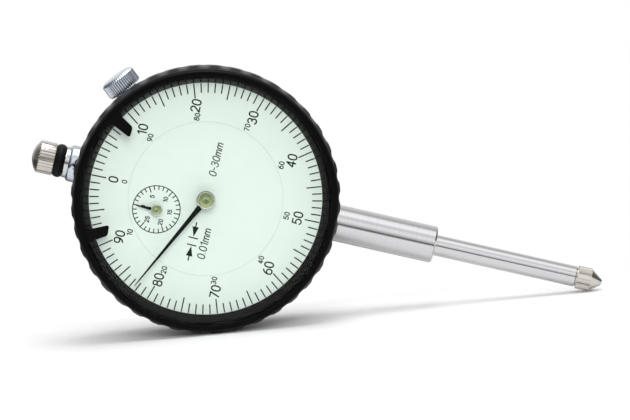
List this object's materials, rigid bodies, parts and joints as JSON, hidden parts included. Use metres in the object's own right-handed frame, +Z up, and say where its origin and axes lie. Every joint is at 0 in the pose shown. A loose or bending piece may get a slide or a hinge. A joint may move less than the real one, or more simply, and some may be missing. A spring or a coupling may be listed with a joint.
{
  "type": "dial indicator",
  "caption": "Plunger dial indicator with a fluted turning bezel, limit markers, a revolution counter, a clamping stem, a lug back and a working rack and gear train.",
  "frame": {"origin": "on the plunger's axis, halfway along the 8 mm clamping stem", "axes": "+Z up the plunger towards its cap, the dial faces -Y, +X to the right as the dial is read"},
  "size_m": [0.0584, 0.0379, 0.1272],
  "materials": {
    "satin_case": "satin, fine blasted die casting",
    "polished_steel": "ground and polished hardened steel",
    "chrome_trim": "bright chrome",
    "warm_nickel": "nickel plate",
    "carbide": "polished carbide ball",
    "bronze": "sintered bronze",
    "plate_brass": "milled brass",
    "gear_brass": "hobbed brass",
    "hub_brass": "turned and lacquered brass",
    "screw_steel": "turned steel",
    "spring_steel": "drawn spring wire and strip",
    "rubber": "matt nitrile rubber",
    "bezel_plastic": "semi-gloss moulded plastic",
    "marker_plastic": "satin moulded plastic",
    "clear_crystal": "clear polished crystal",
    "dial_face": "matt pale green enamel",
    "pointer_black": "matt black paint"
  },
  "bodies": {
    "case": {"case_body": "satin_case", "stem": "polished_steel", "lower_guide_bush": "bronze", "upper_bush": "chrome_trim", "upper_guide_bush": "polished_steel", "back_gasket": "rubber", "back_cover": "satin_case", "back_cover_screws": "screw_steel", "bezel_retaining_ring": "spring_steel", "inner_dial": "dial_face", "front_plate": "plate_brass", "rear_plate": "plate_brass", "plate_pillars": "plate_brass", "pillar_screws": "screw_steel", "plate_screws": "screw_steel", "rack_bridge": "plate_brass", "bridge_screws": "screw_steel", "pivot_bushes": "bronze", "counter_bush": "bronze", "guide_rail": "screw_steel", "guide_rail_screws": "screw_steel", "spring_anchor_pin": "screw_steel", "return_spring": "spring_steel", "hairspring": "spring_steel", "hairspring_stud": "plate_brass"},
    "spindle_assembly": {"spindle": "polished_steel", "guide_pin": "screw_steel", "contact_point": "warm_nickel", "contact_ball": "carbide", "spindle_cap": "warm_nickel", "bumper_o_ring": "rubber"},
    "bezel_assembly": {"bezel": "bezel_plastic", "crystal": "clear_crystal", "crystal_gasket": "rubber", "scale_ring": "dial_face"},
    "high_marker": {"high_limit_marker": "marker_plastic"},
    "low_marker": {"low_limit_marker": "marker_plastic"},
    "clamp_screw_body": {"clamp_screw": "chrome_trim"},
    "clamp_dog_body": {"clamp_dog": "plate_brass"},
    "rack_arbor": {"rack_pinion_arbor": "screw_steel", "rack_gear": "gear_brass"},
    "centre_arbor": {"centre_pinion_arbor": "screw_steel", "main_pointer": "pointer_black", "pointer_hub": "hub_brass"},
    "take_up_wheel": {"take_up_arbor": "screw_steel", "take_up_gear": "gear_brass", "hairspring_collet": "gear_brass", "counter_drive_pinion": "gear_brass"},
    "counter_wheel": {"counter_arbor": "screw_steel", "counter_gear": "gear_brass", "counter_pointer": "pointer_black", "counter_hub": "hub_brass"}
  },
  "joints": [
    {"name": "spindle_slide", "type": "slide", "parent": "case", "child": "spindle_assembly", "axis": [0, 0, 1], "range_m": [0, 0.03], "stiffness_N_per_m": 25, "springref_m": -0.03, "deforming": ["return_spring"]},
    {"name": "rack_arbor_turn", "type": "hinge", "parent": "case", "child": "rack_arbor", "pos_m": [-0.00319, -0.006, 0.02953], "axis": [0, 1, 0], "range_deg": [-1081, 1]},
    {"name": "pointer_turn", "type": "hinge", "parent": "case", "child": "centre_arbor", "pos_m": [0, -0.006, 0.04], "axis": [0, 1, 0], "range_deg": [-1, 10801]},
    {"name": "take_up_turn", "type": "hinge", "parent": "case", "child": "take_up_wheel", "pos_m": [-0.00977, -0.006, 0.04492], "axis": [0, 1, 0], "range_deg": [-1081, 1]},
    {"name": "counter_turn", "type": "hinge", "parent": "case", "child": "counter_wheel", "pos_m": [-0.00461, -0.008, 0.04988], "axis": [0, 1, 0], "range_deg": [-1, 361]},
    {"name": "bezel_turn", "type": "hinge", "parent": "case", "child": "bezel_assembly", "pos_m": [0, -0.01, 0.04], "axis": [0, 1, 0], "continuous": true},
    {"name": "high_marker_turn", "type": "hinge", "parent": "bezel_assembly", "child": "high_marker", "pos_m": [0, -0.014, 0.04], "axis": [0, 1, 0], "range_deg": [-25, 120]},
    {"name": "low_marker_turn", "type": "hinge", "parent": "bezel_assembly", "child": "low_marker", "pos_m": [0, -0.014, 0.04], "axis": [0, 1, 0], "range_deg": [-120, 25]},
    {"name": "clamp_screw_turn", "type": "hinge", "parent": "case", "child": "clamp_screw_body", "pos_m": [0.0162, -0.0019, 0.05904], "axis": [-0.6481, 0, -0.7615], "range_deg": [-1, 101]},
    {"name": "clamp_dog_slide", "type": "slide", "parent": "case", "child": "clamp_dog_body", "axis": [0.6481, 0, 0.7615], "range_m": [0, 0.000125]}
  ],
  "couplings": [
    {"joint": "pointer_turn", "follows": "spindle_slide", "rad_per_m": 6283.2},
    {"joint": "rack_arbor_turn", "follows": "spindle_slide", "rad_per_m": -628.32},
    {"joint": "take_up_turn", "follows": "spindle_slide", "rad_per_m": -628.32},
    {"joint": "counter_turn", "follows": "spindle_slide", "rad_per_m": 209.44},
    {"joint": "clamp_screw_turn", "follows": "clamp_dog_slide", "rad_per_m": 13963}
  ]
}
